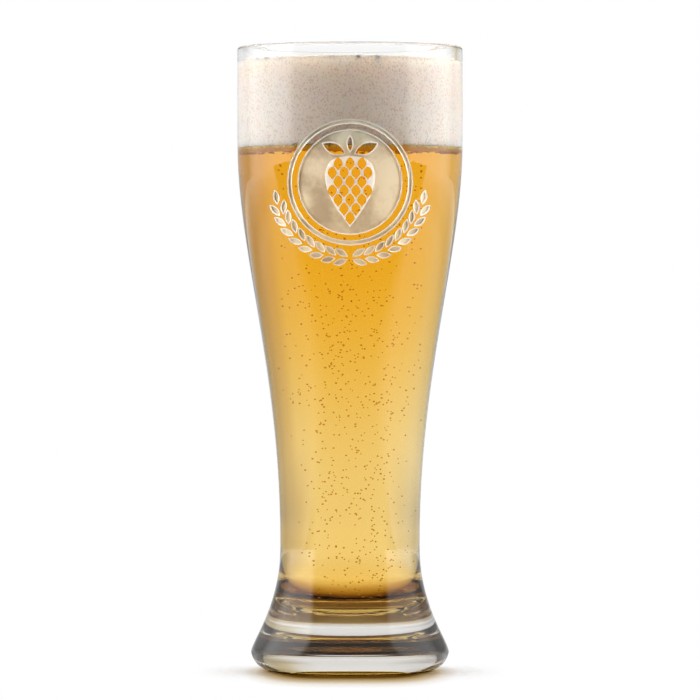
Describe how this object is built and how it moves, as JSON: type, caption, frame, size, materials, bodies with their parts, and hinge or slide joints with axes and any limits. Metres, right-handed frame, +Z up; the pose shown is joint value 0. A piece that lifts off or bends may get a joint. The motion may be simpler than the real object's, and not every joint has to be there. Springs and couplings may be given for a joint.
{
  "type": "pilsner glass",
  "caption": "Tall footed pilsner glass with a swelling bowl, a narrow waist and a thick solid foot, filled with pale lager under a head of foam.",
  "frame": {"origin": "middle of the flat ring under the foot, on the table", "axes": "+Z up along the axis of the glass, towards the rim; -Y is the side that bears the frosted mark"},
  "size_m": [0.0848, 0.0848, 0.235],
  "materials": {
    "glass": "polished",
    "beer": "polished",
    "foam": "matte"
  },
  "bodies": {
    "root": {"glass": "glass", "beer": "beer", "foam_head": "foam"}
  },
  "joints": []
}
